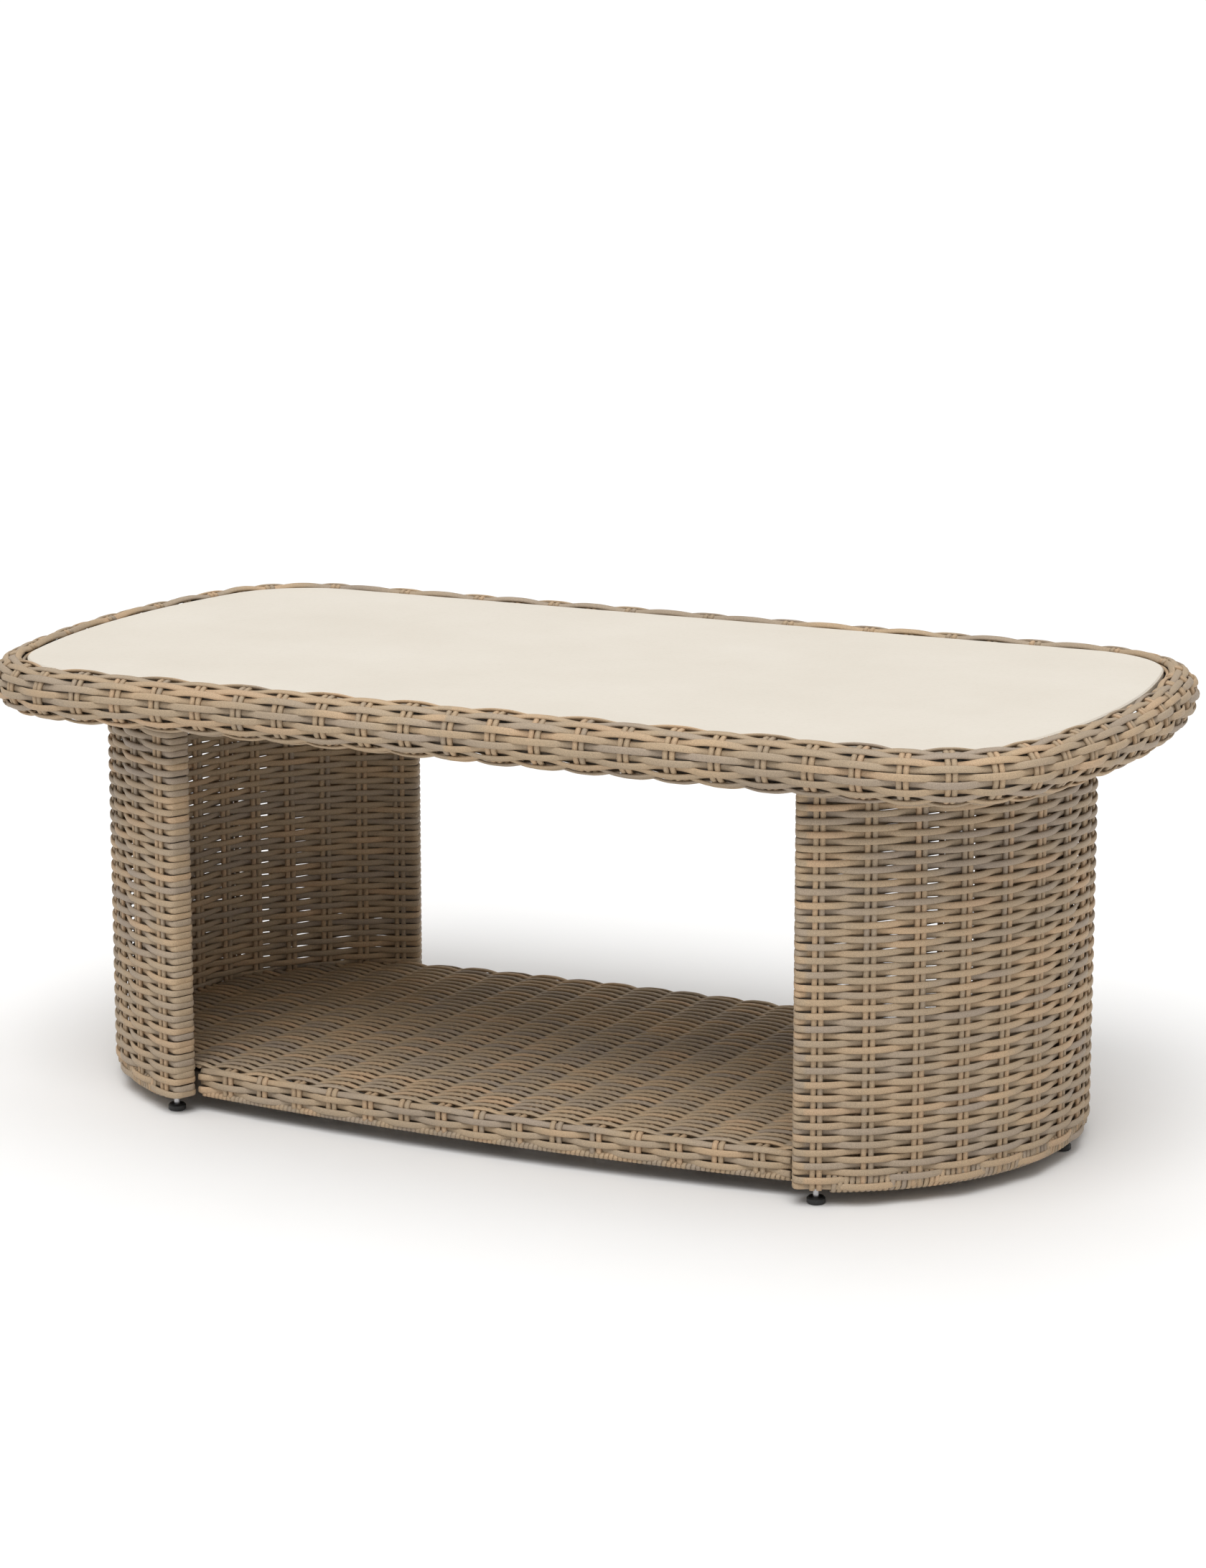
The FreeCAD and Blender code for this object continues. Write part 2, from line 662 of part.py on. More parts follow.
# ---- the feet --------------------------------------------------------------------------------


def foot_inserts():
    """Flanged threaded inserts in the bottom tubes, one for each foot."""
    low = "Dims.frame_bottom - Dims.insert_flange"
    top = f"{low} + Dims.insert_length"
    bore = "Dims.stud_radius + Dims.thread_clearance"
    points = [
        (bore, low),
        ("Dims.insert_flange_radius", low),
        ("Dims.insert_flange_radius", "Dims.frame_bottom"),
        ("Dims.insert_radius", "Dims.frame_bottom"),
        ("Dims.insert_radius", top),
        (bore, top),
    ]
    inserts = []
    for side, placement in SIDES.items():
        for place, angle in foot_angles(side).items():
            insert = turned_piece(f"insert_{side}_{place}", points)
            x, y = (worked_out(formula) for formula in foot_place(angle))
            insert.Placement = placement * Placement(Vector(x, y, 0), Rotation())
            inserts.append(insert)
    group = doc.addObject("Part::Compound", "foot_inserts")
    group.Links = inserts
    return node(group, "foot_inserts")


def foot(side, place, angle):
    """One screw foot: a threaded stud and the round pad on its end."""
    x, y = (worked_out(formula) for formula in foot_place(angle))
    where = SIDES[side] * Placement(Vector(x, y, 0), Rotation())
    stud = turned_piece(f"{side}_{place}_foot_stud", [
        ("0", "Dims.pad_height"),
        ("Dims.stud_radius", "Dims.pad_height"),
        ("Dims.stud_radius", "Dims.stud_top - Dims.pad_rounding / 2"),
        ("Dims.stud_radius - Dims.pad_rounding / 2", "Dims.stud_top"),
        ("0", "Dims.stud_top"),
    ])
    pad = turned_piece(f"{side}_{place}_foot_pad", [
        ("0", "0"),
        ("Dims.pad_radius - Dims.pad_rounding", "0"),
        ("Dims.pad_radius", "Dims.pad_rounding"),
        ("Dims.pad_radius", "Dims.pad_height - Dims.pad_rounding"),
        ("Dims.pad_radius - Dims.pad_rounding", "Dims.pad_height"),
        ("0", "Dims.pad_height"),
    ])
    node(stud, f"{side}_{place}_foot_stud", where)
    node(pad, f"{side}_{place}_foot_pad", where)


def build():
    top_panel()
    panel_bumpers()
    rim_ring = ring_tube("rim_ring", "(Dims.rim_tube_inset)", RIM_MIDDLE, "Dims.rim_tube_radius")
    node(rim_ring, "rim_tube")
    ledge_tubes()
    rim_weave()
    cross_bar("middle_cross_bar", "0")
    cross_bar("right_cross_bar", POST_X)
    cross_bar("left_cross_bar", f"-{POST_X}")
    for side in SIDES:
        end_bar(side)
        top_arc(side)
        bottom_arc(side)
        for place, sign in FACING[side].items():
            corner_post(side, place, sign)
        end_post(side)
        leg_weave(side)
        for place, angle in foot_angles(side).items():
            foot(side, place, angle)
    foot_inserts()
    for side in ("front", "rear"):
        shelf_tube(side)
        shelf_band(side)
    for place, number in (("left", -1), ("middle", 0), ("right", 1)):
        shelf_bar(place, number)
    shelf_deck()


def check_model():
    """Stops before anything is written if an object failed or a sub-part's shape is bad."""
    for thing in doc.Objects:
        if {"Invalid", "Error"} & set(thing.State):
            raise RuntimeError(f"{thing.Label} failed: {thing.State}")
    for thing in nodes:
        shape = thing.Shape
        if shape.isNull() or not shape.isValid() or not shape.Solids:
            raise RuntimeError(f"{thing.Label} has no good shape")


def write_parts():
    os.makedirs("parts", exist_ok=True)
    for thing in nodes:
        thing.Shape.exportStep(f"parts/{thing.Label}.step")


build()
doc.recompute()
check_model()
write_parts()
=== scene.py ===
"""Looks for the wicker coffee table: every strand of the weave as geometry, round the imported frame.

Metres, in the frame's own axes: +X along the table, -Y towards the viewer, +Z up.
"""

import json
import math

import bpy
import numpy as np
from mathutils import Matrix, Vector


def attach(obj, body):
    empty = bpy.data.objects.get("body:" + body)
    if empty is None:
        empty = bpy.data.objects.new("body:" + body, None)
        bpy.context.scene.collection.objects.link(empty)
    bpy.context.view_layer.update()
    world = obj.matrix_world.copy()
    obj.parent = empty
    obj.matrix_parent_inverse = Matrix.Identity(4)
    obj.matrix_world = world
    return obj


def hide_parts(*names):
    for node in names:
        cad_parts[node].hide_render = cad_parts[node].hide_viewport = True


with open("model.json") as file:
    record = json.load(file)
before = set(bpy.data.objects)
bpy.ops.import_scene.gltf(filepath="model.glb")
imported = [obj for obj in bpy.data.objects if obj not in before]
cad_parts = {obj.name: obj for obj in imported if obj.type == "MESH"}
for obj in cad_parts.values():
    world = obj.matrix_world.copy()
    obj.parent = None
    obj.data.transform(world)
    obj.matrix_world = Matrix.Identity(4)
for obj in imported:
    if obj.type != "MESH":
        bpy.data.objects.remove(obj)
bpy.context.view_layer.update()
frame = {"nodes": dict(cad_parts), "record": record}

# ---- sizes, in metres ------------------------------------------------------------------------

TOP_LENGTH, TOP_WIDTH, TOP_HEIGHT = 1.200, 0.630, 0.460
CORNER_RADIUS, END_RADIUS = 0.143, 0.869

STRAND_WIDTH, STRAND_THICK, STRAND_SIDES = 0.0066, 0.0030, 8
STAKE_WIDTH, STAKE_THICK, STAKE_SIDES = 0.0057, 0.0040, 6
STAKE_HALF_GAP = 0.0034
WRAP_WIDTH, WRAP_SIDES = 0.0050, 6
WAVE = 0.0029
STEP = 0.0042

LEG_CENTRE, POST_CIRCLE, POST_ANGLE = 0.245, 0.2645, math.radians(67.5)
OUTER_SKIN, INNER_SKIN = POST_CIRCLE + 0.0123, POST_CIRCLE - 0.0123
LEG_TOP, FIRST_ROW, LEG_ROW = 0.4040, 0.0215, 0.00665
OUTER_PAIRS, INNER_PAIRS = 14, 15

DECK_TOP, DECK_HALF_DEPTH, DECK_BOW = 0.0500, 0.2540, 2.943
SHELF_ROW = 0.0065

# Colour values along a strand, from 0 for grey to 1 for tan.
ROW_TONE, STAKE_TONE = 0.50, 0.68

rng = np.random.default_rng(35)


# ---- lines and strands -----------------------------------------------------------------------


def unit(vectors):
    """Vectors of length one."""
    return vectors / np.maximum(np.linalg.norm(vectors, axis=-1, keepdims=True), 1e-12)


def distances(points):
    """How far along a line each of its points lies."""
    steps = np.linalg.norm(np.diff(points, axis=0), axis=1)
    return np.concatenate([[0], np.cumsum(steps)])


def points_at(places, lengths, points):
    """The points that lie at given distances along a line."""
    return np.stack([np.interp(places, lengths, column) for column in points.T], axis=-1)


def smooth_path(corners, radius, step):
    """Evenly spaced points on straight runs with rounded corners, and the distance to each."""
    corner_points = 12
    corners = np.asarray(corners, float)
    dense = [corners[0]]
    for before, here, after in zip(corners[:-2], corners[1:-1], corners[2:]):
        u, v = unit(before - here), unit(after - here)
        half = math.acos(np.clip(np.dot(u, v), -1, 1)) / 2
        reach = radius / math.tan(half)
        centre = here + unit(u + v) * radius / math.sin(half)
        start, end = here + u * reach - centre, here + v * reach - centre
        sweep = math.pi - 2 * half
        for t in np.linspace(0, 1, corner_points):
            dense.append(centre + (start * math.sin((1 - t) * sweep)
                                   + end * math.sin(t * sweep)) / math.sin(sweep))
    dense.append(corners[-1])
    dense = np.array(dense)
    lengths = distances(dense)
    count = max(int(round(lengths[-1] / step)), 2)
    even = np.linspace(0, lengths[-1], count + 1)
    return points_at(even, lengths, dense), even


def squared(values, power):
    """Cosines or sines whose circle swells towards a square as the power falls below one."""
    return np.sign(values) * np.abs(values) ** power


def section(width, thick, sides):
    """A flat oval's outline, as (across, up) pairs."""
    squareness = 2.6
    power = 2 / squareness
    turns = (np.arange(sides) + 0.5) / sides * 2 * np.pi
    across = squared(np.cos(turns), power) * width / 2
    up = squared(np.sin(turns), power) * thick / 2
    return np.stack([across, up], axis=-1)


def coil(length, pitch, per_turn):
    """A winding's points: how far along the length each is, from 0 to 1, and its angle."""
    turns = int(length / pitch)
    steps = np.arange(turns * per_turn)
    return steps / len(steps), steps / per_turn * 2 * np.pi


def tone_along(lengths, middle):
    """A strand's colour value, which drifts in patches along it."""
    spread, patch = 0.30, 0.085
    knots = int(lengths[-1] / patch) + 3
    values = np.clip(rng.normal(middle, spread, knots), 0, 1)
    place = lengths / patch
    low = place.astype(int)
    part = place - low
    part = part * part * (3 - 2 * part)
    return values[low] * (1 - part) + values[low + 1] * part


class Strands:
    """Gathers strands into one mesh, with a colour value on every point."""

    def __init__(self):
        self.points, self.tones = [], []
        self.quads, self.ends = [], []
        self.count = 0

    def add(self, path, normals, width, thick, closed=False, sides=STRAND_SIDES, tone=ROW_TONE):
        """Sweeps a flat oval along a path, its flat face turned to the normals."""
        if closed:
            along = unit(np.roll(path, -1, axis=0) - np.roll(path, 1, axis=0))
        else:
            along = unit(np.gradient(path, axis=0))
        across = unit(np.cross(along, normals))
        up = np.cross(across, along)
        outline = section(width, thick, sides)
        rings = (path[:, None] + across[:, None] * outline[None, :, :1]
                 + up[:, None] * outline[None, :, 1:])
        self.points.append(rings.reshape(-1, 3))
        self.tones.append(np.repeat(tone_along(distances(path), tone), sides))

        n = len(path)
        ring = np.arange(n if closed else n - 1)[:, None] * sides
        next_ring = (ring + sides) % (n * sides)
        k = np.arange(sides)
        after = (k + 1) % sides
        quads = np.stack([ring + k, ring + after, next_ring + after, next_ring + k], axis=-1)
        self.quads.append(self.count + quads.reshape(-1, 4))
        if not closed:
            self.ends.append(self.count + k[::-1])
            self.ends.append(self.count + (n - 1) * sides + k)
        self.count += n * sides

    def add_stake(self, path, normals):
        """Adds one stake of a pair."""
        self.add(path, normals, STAKE_WIDTH, STAKE_THICK, sides=STAKE_SIDES, tone=STAKE_TONE)

    def make(self, name, body, material, slot, replaces=()):
        """Turns the strands into one piece, which rides on a body and stands in for CAD nodes."""
        quads = np.concatenate(self.quads)
        points = np.concatenate(self.points).astype(np.float32)
        corners = np.concatenate([quads.ravel(), *self.ends]).astype(np.int32)
        sizes = np.array([4] * len(quads) + [len(end) for end in self.ends])
        starts = (np.cumsum(sizes) - sizes).astype(np.int32)
        mesh = bpy.data.meshes.new(name)
        mesh.vertices.add(len(points))
        mesh.vertices.foreach_set("co", points.ravel())
        mesh.loops.add(len(corners))
        mesh.loops.foreach_set("vertex_index", corners)
        mesh.polygons.add(len(starts))
        mesh.polygons.foreach_set("loop_start", starts)
        mesh.update(calc_edges=True)
        mesh.polygons.foreach_set("use_smooth", np.arange(len(starts)) < len(quads))
        tone = mesh.attributes.new("tone", "FLOAT", "POINT")
        tone.data.foreach_set("value", np.concatenate(self.tones).astype(np.float32))
        mesh.materials.append(material)
        piece = bpy.data.objects.new(name, mesh)
        bpy.context.scene.collection.objects.link(piece)
        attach(piece, body)
        if replaces:
            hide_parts(*replaces)


def weave_height(places, stakes, parity):
    """How far a row stands out: +1 over every other stake pair, -1 under the ones between."""
    flat = 0.0045
    index = np.clip(np.searchsorted(stakes, places) - 1, 0, len(stakes) - 2)
    here, there = stakes[index], stakes[index + 1]
    part = np.clip((places - here - flat) / (there - here - 2 * flat), 0, 1)
    side = np.where((index + parity) % 2 == 0, 1.0, -1.0)
    return side * np.cos(np.pi * part)


# ---- the top's outline -----------------------------------------------------------------------


class Outline:
    """The top's outline, walked from the middle of the front side towards +X."""

    def __init__(self):
        a, b = TOP_LENGTH / 2, TOP_WIDTH / 2
        gap = math.sqrt((END_RADIUS - CORNER_RADIUS) ** 2 - (b - CORNER_RADIUS) ** 2)
        turn = math.atan2(b - CORNER_RADIUS, gap)
        quarter = math.pi / 2
        corner = (quarter - turn) * CORNER_RADIUS
        end = 2 * turn * END_RADIUS
        x, y = a - END_RADIUS + gap, b - CORNER_RADIUS
        self.pieces = [
            ("line", x, (0, -b), (1, 0)),
            ("arc", corner, (x, -y), CORNER_RADIUS, -quarter),
            ("arc", end, (a - END_RADIUS, 0), END_RADIUS, -turn),
            ("arc", corner, (x, y), CORNER_RADIUS, turn),
            ("line", 2 * x, (x, b), (-1, 0)),
            ("arc", corner, (-x, y), CORNER_RADIUS, quarter),
            ("arc", end, (END_RADIUS - a, 0), END_RADIUS, math.pi - turn),
            ("arc", corner, (-x, -y), CORNER_RADIUS, math.pi + turn),
            ("line", x, (-x, -b), (1, 0)),
        ]
        self.starts = np.concatenate([[0], np.cumsum([piece[1] for piece in self.pieces])])
        self.length = self.starts[-1]

    def at(self, places):
        """Points on the outline and the outward directions there."""
        places = np.mod(places, self.length)
        points, normals = np.zeros((len(places), 2)), np.zeros((len(places), 2))
        for number, piece in enumerate(self.pieces):
            inside = (places >= self.starts[number]) & (places <= self.starts[number + 1])
            along = places[inside] - self.starts[number]
            if piece[0] == "line":
                start, way = np.array(piece[2]), np.array(piece[3])
                points[inside] = start + along[:, None] * way
                normals[inside] = (way[1], -way[0])
            else:
                angle = piece[4] + along / piece[3]
                normals[inside] = np.stack([np.cos(angle), np.sin(angle)], axis=-1)
                points[inside] = np.array(piece[2]) + piece[3] * normals[inside]
        return points, normals


OUTLINE = Outline()


# ---- materials -------------------------------------------------------------------------------


def new_material(name):
    """A material, its node tree and its shader."""
    material = bpy.data.materials.new(name)
    material.use_nodes = True
    tree = material.node_tree
    shader = next(n for n in tree.nodes if n.type == "BSDF_PRINCIPLED")
    return material, tree, shader


def add_noise(tree, scale, detail, rough):
    noise = tree.nodes.new("ShaderNodeTexNoise")
    noise.inputs["Scale"].default_value = scale
    noise.inputs["Detail"].default_value = detail
    noise.inputs["Roughness"].default_value = rough
    where = tree.nodes.new("ShaderNodeTexCoord")
    tree.links.new(where.outputs["Object"], noise.inputs["Vector"])
    return noise


def add_ramp(tree, source, stops):
    """A colour ramp through (place, colour) stops."""
    ramp = tree.nodes.new("ShaderNodeValToRGB")
    elements = ramp.color_ramp.elements
    while len(elements) < len(stops):
        elements.new(0.5)
    for element, (place, colour) in zip(elements, stops):
        element.position = place
        element.color = (*colour, 1)
    tree.links.new(source, ramp.inputs["Fac"])
    return ramp


def multiply(tree, a, b):
    """Two colours multiplied. The mix node's colour sockets can only be told by number."""
    colour_a, colour_b, colour_result = 6, 7, 2
    mix = tree.nodes.new("ShaderNodeMix")
    mix.data_type, mix.blend_type = "RGBA", "MULTIPLY"
    mix.inputs["Factor"].default_value = 1.0
    tree.links.new(a, mix.inputs[colour_a])
    tree.links.new(b, mix.inputs[colour_b])
    return mix.outputs[colour_result]


def add_bump(tree, shader, source, strength, distance):
    bump = tree.nodes.new("ShaderNodeBump")
    bump.inputs["Strength"].default_value = strength
    bump.inputs["Distance"].default_value = distance
    tree.links.new(source, bump.inputs["Height"])
    tree.links.new(bump.outputs["Normal"], shader.inputs["Normal"])


def wicker():
    """Matt plastic strand: grey taupe, khaki and tan in patches, finely speckled."""
    material, tree, shader = new_material("wicker_strand")
    tone = tree.nodes.new("ShaderNodeAttribute")
    tone.attribute_name = "tone"
    colour = add_ramp(tree, tone.outputs["Fac"], [
        (0.00, (0.352, 0.282, 0.216)),
        (0.30, (0.378, 0.298, 0.214)),
        (0.52, (0.410, 0.312, 0.207)),
        (0.76, (0.462, 0.336, 0.212)),
        (1.00, (0.508, 0.355, 0.222)),
    ])
    speckle = add_noise(tree, scale=1500, detail=2.0, rough=0.7)
    grain = add_ramp(tree, speckle.outputs["Fac"], [
        (0.30, (0.66, 0.66, 0.67)),
        (0.50, (1.0, 1.0, 1.0)),
        (0.72, (1.30, 1.29, 1.28)),
    ])
    drift = add_noise(tree, scale=9, detail=2.0, rough=0.5)
    broad = add_ramp(tree, drift.outputs["Fac"], [
        (0.30, (0.92, 0.92, 0.93)),
        (0.70, (1.07, 1.06, 1.04)),
    ])
    both = multiply(tree, colour.outputs["Color"], grain.outputs["Color"])
    whole = multiply(tree, both, broad.outputs["Color"])
    tree.links.new(whole, shader.inputs["Base Color"])
    shader.inputs["Roughness"].default_value = 0.62
    shader.inputs["Specular IOR Level"].default_value = 0.35
    add_bump(tree, shader, speckle.outputs["Fac"], strength=0.35, distance=0.00025)
    return material


def ceramic():
    """Matt cream ceramic with fine paler flecks and faint clouds."""
    material, tree, shader = new_material("cream_ceramic")
    clouds = add_noise(tree, scale=7, detail=4.0, rough=0.55)
    colour = add_ramp(tree, clouds.outputs["Fac"], [
        (0.30, (0.715, 0.655, 0.560)),
        (0.50, (0.735, 0.676, 0.582)),
        (0.72, (0.755, 0.698, 0.606)),
    ])
    flecks = add_noise(tree, scale=260, detail=4.0, rough=0.75)
    spots = add_ramp(tree, flecks.outputs["Fac"], [
        (0.34, (0.965, 0.962, 0.958)),
        (0.50, (1, 1, 1)),
        (0.66, (1, 1, 1)),
        (0.74, (1.05, 1.05, 1.06)),
    ])
    both = multiply(tree, colour.outputs["Color"], spots.outputs["Color"])
    tree.links.new(both, shader.inputs["Base Color"])
    shader.inputs["Roughness"].default_value = 0.42
    add_bump(tree, shader, flecks.outputs["Fac"], strength=0.08, distance=0.0003)
    return material


def speckled(name, dark, light, roughness, metallic=0.0):
    """A plain material whose colour and surface vary finely."""
    material, tree, shader = new_material(name)
    noise = add_noise(tree, scale=400, detail=4.0, rough=0.65)
    colour = add_ramp(tree, noise.outputs["Fac"], [(0.30, dark), (0.70, light)])
    tree.links.new(colour.outputs["Color"], shader.inputs["Base Color"])
    shader.inputs["Roughness"].default_value = roughness
    shader.inputs["Metallic"].default_value = metallic
    add_bump(tree, shader, noise.outputs["Fac"], strength=0.15, distance=0.0002)
    return material


WICKER = wicker()


def paint_nodes():
    """Gives every carried-over CAD node its material."""
    finishes = {
        "tabletop": ceramic(),
        "frame": speckled("powder_coat", (0.075, 0.058, 0.043), (0.105, 0.083, 0.062), 0.55),
        "stud": speckled("zinc", (0.42, 0.42, 0.43), (0.60, 0.60, 0.61), 0.32, metallic=1.0),
        "foot_pad": speckled("black_plastic", (0.010, 0.010, 0.010), (0.022, 0.022, 0.022), 0.48),
        "bumper": speckled("rubber_black", (0.016, 0.016, 0.016), (0.030, 0.030, 0.030), 0.80),
    }
    for row in frame["record"]["subparts"]:
        material = finishes.get(row["material_slot"])
        thing = frame["nodes"].get(row["node"])
        if material is None or thing is None:
            continue
        for slot in thing.material_slots:
            slot.material = material


# ---- the rim ---------------------------------------------------------------------------------


def rim_section():
    """The rim's roll in section: (inset, height) from the panel's edge round to the underside."""
    roll, inset, middle = 0.0235, 0.0280, TOP_HEIGHT - 0.0280
    panel_edge = (0.0305, 0.4525)
    underside_end = (0.0520, middle - roll)
    arc = [(inset - roll * math.sin(t), middle + roll * math.cos(t))
           for t in np.linspace(0, math.pi, 25)]
    points = np.array([panel_edge, *arc, underside_end])
    return points, distances(points)


def place_on_rim(places, sections, height):
    """Points on the rim and its outward normals there, at distances along the top's outline and
    along the rim's section, raised by a height."""
    section_points, lengths = rim_section()
    nudge = 0.001
    flat, out = OUTLINE.at(places)
    point = points_at(sections, lengths, section_points)
    way = unit(points_at(sections + nudge, lengths, section_points)
               - points_at(sections - nudge, lengths, section_points))
    inward, upward = way[:, 1:], -way[:, :1]
    rise = height[:, None]
    xy = flat - out * (point[:, :1] + rise * inward)
    z = point[:, 1:] + rise * upward
    return np.concatenate([xy, z], -1), np.concatenate([-out * inward, upward], -1)


def rim_weave():
    """The rim's closed rows, and the pairs of stakes they pass over and under."""
    row_width, row_pitch, pair_pitch = 0.0071, 0.0065, 0.0465
    top_rows, top_wave = 3, 0.66
    sway, sways, stake_jitter, stake_step = 0.0004, 7, 0.0002, 0.0035
    around, across = OUTLINE.length, rim_section()[1][-1]
    pairs = 2 * round(around / pair_pitch / 2)
    stakes = np.arange(-1, pairs + 2) * around / pairs

    rows = Strands()
    count = int(across / row_pitch)
    places = np.arange(0, around, STEP)
    for row in range(count):
        middle = (row + 0.5) * across / count
        wobble = sway * np.sin(2 * np.pi * (places / around * sways + rng.random()))
        wave = WAVE * (top_wave if row < top_rows else 1.0)
        height = wave * weave_height(places, stakes, row % 2)
        points, normals = place_on_rim(places, middle + wobble, height)
        rows.add(points, normals, row_width, STRAND_THICK, closed=True)
    rows.make("rim_rows", "frame", WICKER, "wicker", ("rim_weave",))

    uprights = Strands()
    sections = np.arange(0, across, stake_step)
    for stake in stakes[1:-2]:
        for side in (-STAKE_HALF_GAP, STAKE_HALF_GAP):
            places = np.full(len(sections), stake + side + rng.normal(0, stake_jitter))
            uprights.add_stake(*place_on_rim(places, sections, np.zeros(len(sections))))
    uprights.make("rim_stakes", "frame", WICKER, "wicker")


def panel_edge_wrap():
    """A thin tube beside the panel, wound with strand."""
    inset, height, ring = 0.0328, 0.4500, 0.0014
    width, thick, pitch = 0.0040, 0.0014, 0.0042
    part, angle = coil(OUTLINE.length, pitch, per_turn=9)
    flat, out = OUTLINE.at(part * OUTLINE.length)
    radial = np.stack([np.cos(angle), np.sin(angle)], -1)
    xy = flat - out * (inset + ring * radial[:, :1])
    z = height + ring * radial[:, 1:]
    normals = np.concatenate([-out * radial[:, :1], radial[:, 1:]], -1)
    wrap = Strands()
    wrap.add(np.concatenate([xy, z], -1), normals, width, thick, closed=True, sides=WRAP_SIDES)
    wrap.make("panel_edge_wrap", "frame", WICKER, "wicker")


# ---- the legs --------------------------------------------------------------------------------


def leg_loop():
    """A leg row's closed line in plan: out along the outer skin, round a post, back inside.

    Returns its points, the distance along it, and where each skin starts and ends on it."""
    skin_points, end_skin, rounding, cap_step = 160, 0.0118, 0.0050, 0.0015
    arc = np.linspace(-POST_ANGLE, POST_ANGLE, skin_points)
    circle = np.stack([np.cos(arc), np.sin(arc)], -1)
    radial = circle[-1]
    tangent = np.array([-radial[1], radial[0]])
    corners = [
        OUTER_SKIN * radial,
        OUTER_SKIN * radial + end_skin * tangent,
        INNER_SKIN * radial + end_skin * tangent,
        INNER_SKIN * radial,
    ]
    cap, _ = smooth_path(corners, rounding, cap_step)
    other_cap = cap[::-1] * (1, -1)
    outer, inner = OUTER_SKIN * circle, INNER_SKIN * circle[::-1]
    loop = np.concatenate([outer, cap[1:], inner[1:], other_cap[1:]])
    lengths = distances(loop)
    inner_start = len(outer) + len(cap) - 2
    outer_reach = (0.0, lengths[len(outer) - 1])
    inner_reach = (lengths[inner_start], lengths[inner_start + len(inner) - 1])
    return loop, lengths, outer_reach, inner_reach


def pair_places(reach, count):
    """Where a skin's pairs of stakes stand along a leg's loop."""
    first_pair = 0.0088
    return np.linspace(reach[0] + first_pair, reach[1] - first_pair, count)


def leg_row_heights(places, pairs, reach, parity):
    """A row's wave over one skin's pairs, dying away towards the posts' corners."""
    fade = 0.0240
    gap = pairs[1] - pairs[0]
    stakes = np.concatenate([[pairs[0] - gap], pairs, [pairs[-1] + gap]])
    height = WAVE * weave_height(places, stakes, parity)
    start = np.clip((places - (reach[0] - fade)) / fade, 0, 1)
    end = np.clip((reach[1] + fade - places) / fade, 0, 1)
    return height * start * end


def leg_rows(side, turn):
    """A leg's closed rows, which run round both skins and both corner posts."""
    step, bands = 0.0038, 4
    sway, sways, row_jitter = 0.0004, 5, 0.00015
    loop, lengths, outer, inner = leg_loop()
    total = lengths[-1]
    outer_pairs, inner_pairs = pair_places(outer, OUTER_PAIRS), pair_places(inner, INNER_PAIRS)
    even = np.linspace(0, total, int(total / step), endpoint=False)
    xy = points_at(even, lengths, loop)
    way = unit(np.roll(xy, -1, axis=0) - np.roll(xy, 1, axis=0))
    out = np.stack([way[:, 1], -way[:, 0]], -1)
    normals = np.concatenate([out * turn, np.zeros((len(out), 1))], -1)
    # The second half of the last corner is measured back from the outer skin's start.
    around = np.where(even > (inner[1] + total) / 2, even - total, even)
    on_outer = around < (outer[1] + inner[0]) / 2
    count = int((LEG_TOP - FIRST_ROW - STRAND_WIDTH / 2) / LEG_ROW) + 1
    groups = [Strands() for _ in range(bands)]
    for row in range(count):
        wave = np.where(
            on_outer,
            leg_row_heights(around, outer_pairs, outer, row % 2),
            leg_row_heights(around, inner_pairs, inner, (row + 1) % 2))
        swing = sway * np.sin(even / total * 2 * np.pi * sways + rng.random() * 6)
        rise = FIRST_ROW + row * LEG_ROW + rng.normal(0, row_jitter) + swing
        plan = (xy + out * wave[:, None] + (LEG_CENTRE, 0)) * turn
        points = np.concatenate([plan, rise[:, None]], -1)
        groups[row * bands // count].add(points, normals, STRAND_WIDTH, STRAND_THICK, closed=True)
    for number, group in enumerate(groups, start=1):
        group.make(f"{side}_leg_rows_{number}", "frame", WICKER, "wicker",
                   (f"{side}_leg_weave",))


def leg_stakes(side, turn):
    """The pairs of stakes in a leg's outer and inner skins."""
    below, step, jitter = 0.0040, 0.006, 0.00025
    _, _, outer, inner = leg_loop()
    height = np.arange(FIRST_ROW - below, LEG_TOP + step, step)
    uprights = Strands()
    for skin, reach, count in ((OUTER_SKIN, outer, OUTER_PAIRS), (INNER_SKIN, inner, INNER_PAIRS)):
        middle = (reach[0] + reach[1]) / 2
        for pair in pair_places(reach, count):
            for offset in (-STAKE_HALF_GAP, STAKE_HALF_GAP):
                angle = (pair - middle + offset + rng.normal(0, jitter)) / skin
                radial = np.array([math.cos(angle), math.sin(angle)])
                spot = (skin * radial + (LEG_CENTRE, 0)) * turn
                points = np.concatenate([np.tile(spot, (len(height), 1)), height[:, None]], -1)
                uprights.add_stake(points, np.tile((*radial * turn, 0), (len(height), 1)))
    uprights.make(f"{side}_leg_stakes", "frame", WICKER, "wicker")


